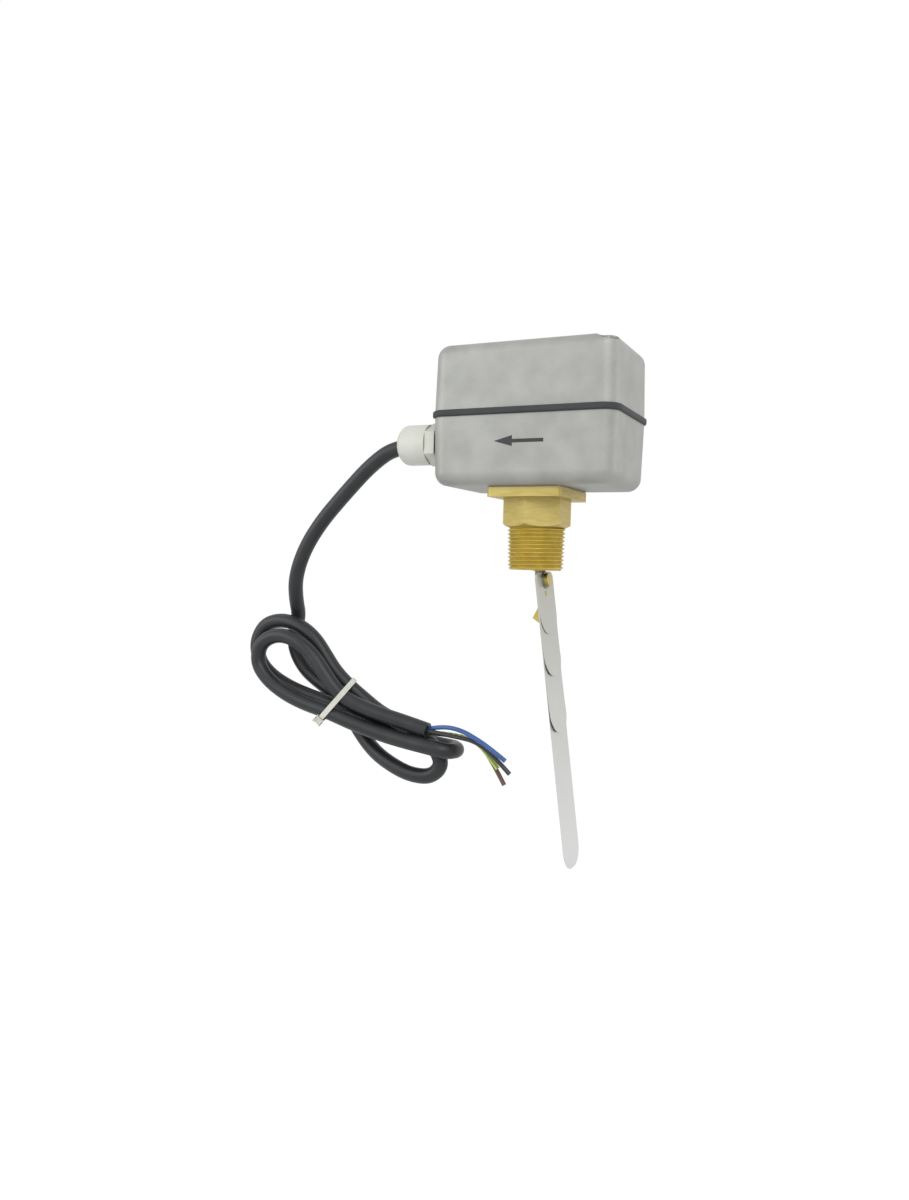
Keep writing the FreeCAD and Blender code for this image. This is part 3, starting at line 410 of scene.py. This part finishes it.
CABLE_RADIUS, CORE_LEAD_RADIUS = 4.9, 1.4
SIDE = -14.8
CABLE = [(-72, SIDE, 50), (-90, SIDE, 50), (-108, SIDE, 39.5), (-128, SIDE, 20.5), (-147, SIDE, 1),
         (-160, -14.5, -18), (-167, -13, -36), (-170, -7.5, -50), (-171.5, -1, -62), (-176, 0, -73.5),
         (-174.4, -1, -85.6), (-165.8, -1.5, -97.8), (-153.3, -2, -106), (-137.4, -2.5, -114.2),
         (-127.9, -2.5, -125.2), (-118.1, -4, -137.4), (-104.6, -8, -147.8), (-89, -11, -154.5),
         (-75, -12, -158.5), (-61, -12, -158), (-53.5, -11.5, -149.5), (-59.5, -10.8, -139),
         (-73, -9, -131.4), (-87.5, -9, -126.4), (-101.5, -9.3, -120.9), (-112, -9.6, -114.1),
         (-124.1, -11.5, -105.2), (-134.7, -11.5, -96.4), (-142.9, -11.5, -85.8), (-151.1, -11.5, -75.7),
         (-162.1, -11.5, -68.3), (-176.5, -11.5, -64.4), (-191.5, -11.5, -67.6), (-199, -12, -80),
         (-196.3, -12, -93.4), (-186.2, -12, -103), (-170.1, -12, -110.3), (-152.4, -12, -115),
         (-135.1, -12, -118.5), (-117.1, -11.5, -125.2), (-100, -7.5, -131.2), (-87, -2.5, -135),
         (-75, -0.5, -137.8), (-64, 0.5, -139.4), (-57.5, 2, -140.2), (-50, 0, -140.4),
         (-44.5, -10, -139.8), (-47, -20.5, -139), (-58, -22, -137.2), (-73, -21.5, -135.6),
         (-92, -21.5, -132.8), (-114.7, -21.5, -127.5), (-135.1, -21.5, -121.5), (-151.1, -21.5, -118.3),
         (-167.3, -21.5, -113), (-181.9, -21.5, -104.6), (-191, -21.5, -93.4), (-188, -21.5, -79.6),
         (-173, -21.5, -73.2), (-156.2, -21.5, -77.7), (-144, -21.5, -87.4), (-134.6, -21.5, -99.3),
         (-124.3, -21, -110.5), (-110.9, -20, -116.3), (-95, -19.5, -120.4), (-80.4, -19, -123.4),
         (-69.6, -18.5, -125.8), (-61.4, -18, -127.8)]
cable = curve("cable_and_hank", CABLE, CABLE_RADIUS, "cable_jacket", 10)
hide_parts("cable", "cable_hank")

CORES = {
    "core_blue": [(-64, -17, -127.5), (-57, -18, -125.5), (-46, -20, -123.8), (-35.9, -21, -125.1),
                  (-27.1, -22, -128.4), (-17.5, -22, -133.2), (-7, -22, -140)],
    "core_black": [(-64, -19, -127.5), (-54, -19, -128.5), (-42, -18, -129.6), (-29, -18, -131),
                   (-17.5, -18, -137.5), (-5.5, -18, -148.5)],
    "core_green_yellow": [(-64, -17, -129), (-54, -16, -129), (-43, -15, -129.3), (-31.5, -14, -131),
                          (-22, -14, -138.5), (-15, -14, -147)],
    "core_brown": [(-64, -18, -129), (-54, -14, -130), (-43, -11, -130.6), (-30.5, -10, -133),
                   (-21.5, -10, -142), (-12, -10, -157.5)],
}
for name, points in CORES.items():
    core = curve(name + "_lead", points, CORE_LEAD_RADIUS, name)
    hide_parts(name)
    curve_length(core)


def outline_around(centres, radius):
    """The taut loop around round strands: the convex hull of their outlines, counterclockwise."""
    points = sorted((u + radius * math.cos(a * math.pi / 24), v + radius * math.sin(a * math.pi / 24))
                    for u, v in centres for a in range(48))
    hull = []
    for row in (points, points[::-1]):
        base = len(hull)
        for p in row:
            while len(hull) >= base + 2:
                (ax, ay), (bx, by) = hull[-2], hull[-1]
                if (bx - ax) * (p[1] - ay) - (by - ay) * (p[0] - ax) > 0:
                    break
                hull.pop()
            hull.append(p)
        hull.pop()
    return hull


TIE_FRONT = Vector((-123.6, -27, -113.5))
TIE_DOWN = Vector((-0.678, 0, -0.735))
TIE_BACK = Vector((-0.244, 0.943, 0.225))
TIE_ALONG = Vector((0.694, 0.331, -0.64))
TIED_STRANDS = [(10.6, 26.0), (-5.9, 16.7), (12.0, 16.0), (13.3, 5.8), (-2.6, 6.5)]
STRAP_INSIDE, STRAP_THICKNESS, STRAP_HALF_WIDTH = 5.0, 1.1, 1.7
HEAD_DOWN, HEAD_BACK = 20.0, 4.5
HEAD_SIZE = (4.2, 6.4, 4.6)
HEAD_ROUNDING = 0.7


def make_tie():
    """A nylon tie: a thin strap drawn tight around the strands, with its locking head."""
    mesh = bmesh.new()
    inner = outline_around(TIED_STRANDS, STRAP_INSIDE)
    outer = outline_around(TIED_STRANDS, STRAP_INSIDE + STRAP_THICKNESS)
    half = STRAP_HALF_WIDTH
    rings = [[mesh.verts.new((TIE_FRONT + TIE_DOWN * u + TIE_BACK * w + TIE_ALONG * side) * MM)
              for u, w in loop]
             for loop, side in ((inner, -half), (inner, half), (outer, half), (outer, -half))]
    for first, second in zip(rings, rings[1:] + rings[:1]):
        bridge(mesh, first, second)
    head = bmesh.ops.create_cube(mesh, size=MM)["verts"]
    centre = TIE_FRONT + TIE_DOWN * HEAD_DOWN + TIE_BACK * HEAD_BACK
    for vert in head:
        u, w, side = (share * full / MM for share, full in zip(vert.co, HEAD_SIZE))
        vert.co = (centre + TIE_DOWN * u + TIE_BACK * w + TIE_ALONG * side) * MM
    edges = list({edge for vert in head for edge in vert.link_edges})
    bmesh.ops.bevel(mesh, geom=edges, offset=HEAD_ROUNDING * MM, segments=3, affect="EDGES")
    return from_bmesh("cable_tie_strap", mesh, "tie_plastic", "root", smooth=False)


tie = make_tie()
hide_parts("cable_tie")
curve_length(cable)


# --- paddle: slim lever tongue, and blades whose ends stand a little off the longer ones ------
REST_LEAN = 8.1
STEP_HEIGHT = 0.5
CURL_SECTIONS = 14
THINNED_SHARE = 0.8


def paddle_axes():
    """The pivot, the direction down the blades and the direction out of their faces."""
    low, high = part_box("pivot_pin")
    lean = math.radians(REST_LEAN)
    return (Vector(((low[0] + high[0]) / 2, 0, (low[2] + high[2]) / 2)),
            Vector((math.sin(lean), 0, -math.cos(lean))), Vector((math.cos(lean), 0, math.sin(lean))))


def slim_back(node, below, back, keep):
    """A copy of a paddle piece whose back, below a drop from the pivot, stands nearer to the blades."""
    pivot, down, outward = paddle_axes()
    mesh = mesh_of(node)
    for drop in (below, below + STEP_HEIGHT):
        cut(mesh, pivot + down * drop * MM, down)
    for vert in mesh.verts:
        reach = (vert.co - pivot).dot(outward) / MM
        if (vert.co - pivot).dot(down) / MM > below + 0.4 and -keep < reach < back:
            vert.co += outward * (back - reach) * THINNED_SHARE * MM
    piece = from_bmesh(node + "_slim", mesh, slots[node], "paddle", smooth=False)
    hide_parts(node)


slim_back("lever", 16.0, 0.0, 3.2)
slim_back("paddle_nut", 10.0, 0.6, 9.0)
slim_back("paddle_screw", 10.0, 0.2, 12.0)


def curled_blade(node, start, end, lift):
    """A copy of a blade whose free end curls away from the blade behind it; drops are from the pivot."""
    pivot, down, outward = paddle_axes()
    mesh = mesh_of(node)
    for step in range(CURL_SECTIONS):
        cut(mesh, pivot + down * (start + (end - start) * step / CURL_SECTIONS) * MM, down)
    for vert in mesh.verts:
        drop = (vert.co - pivot).dot(down) / MM
        share = max(0.0, (drop - start) / (end - start))
        vert.co += outward * lift * share ** 2 * MM
    piece = from_bmesh(node + "_curled", mesh, "blade_steel_painted_shade", "paddle", smooth=False)
    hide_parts(node)


curled_blade("blade_1_inch", 34.0, 55.2, 0.25)
curled_blade("blade_2_inch", 57.0, 80.4, 0.9)
curled_blade("blade_3_inch", 82.0, 114.4, 1.1)


# --- range spring: cut in two, its lower turns riding the root, its upper turns on their own ----
SPRING_SPLIT = 0.079


def spring_part(name, keep_upper, body):
    """The turns of the range spring above or below its split, closed where the wire is cut."""
    mesh = mesh_of("range_spring")
    made = cut(mesh, (0, 0, SPRING_SPLIT), (0, 0, 1), clear_inner=keep_upper, clear_outer=not keep_upper)
    rim = [item for item in made["geom_cut"] if isinstance(item, bmesh.types.BMEdge)]
    bmesh.ops.holes_fill(mesh, edges=rim, sides=0)
    return from_bmesh(name, mesh, slots["range_spring"], body)


lower_turns = spring_part("range_spring_lower", False, "root")
upper_turns = spring_part("range_spring_upper", True, None)
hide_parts("range_spring")
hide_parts("range_spring")
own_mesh(lower_turns)
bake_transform(upper_turns)


# --- stage, light and camera ------------------------------------------------------------------
scene = bpy.context.scene
scene.view_settings.view_transform = "Standard"


def seen_rays(tree):
    """1 for camera, glossy and transmission rays, so that all of them see the pale background."""
    path = tree.nodes.new("ShaderNodeLightPath")
    total = path.outputs["Is Camera Ray"]
    for name in ("Is Glossy Ray", "Is Transmission Ray"):
        either = tree.nodes.new("ShaderNodeMath")
        either.operation = "MAXIMUM"
        tree.links.new(total, either.inputs[0])
        tree.links.new(path.outputs[name], either.inputs[1])
        total = either.outputs[0]
    return total


def make_floor():
    """A pale floor that glows for the rays that see it and is matt for the rest."""
    bpy.ops.mesh.primitive_plane_add(size=6, location=(0, 0, -0.3))
    floor = bpy.context.object
    floor.name = "floor"
    mat = bpy.data.materials.new("pale_floor")
    mat.use_nodes = True
    tree = mat.node_tree
    tree.nodes.clear()
    output = tree.nodes.new("ShaderNodeOutputMaterial")
    diffuse = tree.nodes.new("ShaderNodeBsdfDiffuse")
    diffuse.inputs["Color"].default_value = (0.85, 0.85, 0.85, 1)
    glow = tree.nodes.new("ShaderNodeEmission")
    glow.inputs["Color"].default_value = (1, 1, 1, 1)
    mix = tree.nodes.new("ShaderNodeMixShader")
    scaled = tree.nodes.new("ShaderNodeMath")
    scaled.operation = "MULTIPLY"
    scaled.inputs[1].default_value = 0.93
    glow.inputs["Strength"].default_value = 1.05
    tree.links.new(seen_rays(tree), scaled.inputs[0])
    tree.links.new(scaled.outputs[0], mix.inputs["Fac"])
    tree.links.new(diffuse.outputs[0], mix.inputs[1])
    tree.links.new(glow.outputs[0], mix.inputs[2])
    tree.links.new(mix.outputs[0], output.inputs["Surface"])
    floor.data.materials.append(mat)


def make_world():
    """White where it is seen, and a dimmer fill where it only lights."""
    world = bpy.data.worlds.new("studio")
    scene.world = world
    world.use_nodes = True
    tree = world.node_tree
    tree.nodes.clear()
    output = tree.nodes.new("ShaderNodeOutputWorld")
    fill = tree.nodes.new("ShaderNodeBackground")
    fill.inputs["Color"].default_value = (1, 1, 1, 1)
    fill.inputs["Strength"].default_value = 0.55
    white = tree.nodes.new("ShaderNodeBackground")
    white.inputs["Color"].default_value = (1, 1, 1, 1)
    white.inputs["Strength"].default_value = 1.0
    mix = tree.nodes.new("ShaderNodeMixShader")
    tree.links.new(seen_rays(tree), mix.inputs["Fac"])
    tree.links.new(fill.outputs[0], mix.inputs[1])
    tree.links.new(white.outputs[0], mix.inputs[2])
    tree.links.new(mix.outputs[0], output.inputs["Surface"])


def area_light(name, location, target, size, power):
    """A rectangular lamp at a place, turned to a target."""
    data = bpy.data.lights.new(name, "AREA")
    data.shape = "RECTANGLE"
    data.size, data.size_y = size
    data.energy = power
    lamp = bpy.data.objects.new(name, data)
    scene.collection.objects.link(lamp)
    lamp.location = location
    lamp.rotation_euler = (Vector(target) - Vector(location)).to_track_quat("-Z", "Y").to_euler()


make_floor()
make_world()
area_light("key", (0.55, -1.0, 0.8), (0, 0, 0), (0.9, 0.9), 9)
area_light("left", (-0.9, -0.8, 0.35), (-0.05, 0, 0), (0.8, 0.8), 5)
area_light("rim", (0.7, 0.35, 0.2), (0, 0, 0), (0.5, 0.9), 1.5)

CAMERA_PLACE = (0.20194, -0.53558, -0.02579)
CAMERA_ANGLES = (25.54, -1.98, 1.64)
CAMERA_LENS = 28.07


def make_camera():
    """A camera in front, to the right, set by its azimuth, elevation and roll."""
    azimuth, elevation, roll = (math.radians(angle) for angle in CAMERA_ANGLES)
    level = math.cos(elevation)
    forward = Vector((-math.sin(azimuth) * level, math.cos(azimuth) * level, math.sin(elevation)))
    right = Vector((math.cos(azimuth), math.sin(azimuth), 0))
    up = right.cross(forward)
    axis_x = right * math.cos(roll) + up * math.sin(roll)
    axis_y = up * math.cos(roll) - right * math.sin(roll)
    turn = Matrix((axis_x, axis_y, -forward)).transposed()
    data = bpy.data.cameras.new("camera")
    data.sensor_width = 36
    data.sensor_fit = "AUTO"
    data.lens = CAMERA_LENS
    camera = bpy.data.objects.new("camera", data)
    camera.matrix_world = Matrix.Translation(CAMERA_PLACE) @ turn.to_4x4()
    scene.collection.objects.link(camera)
    scene.camera = camera


make_camera()
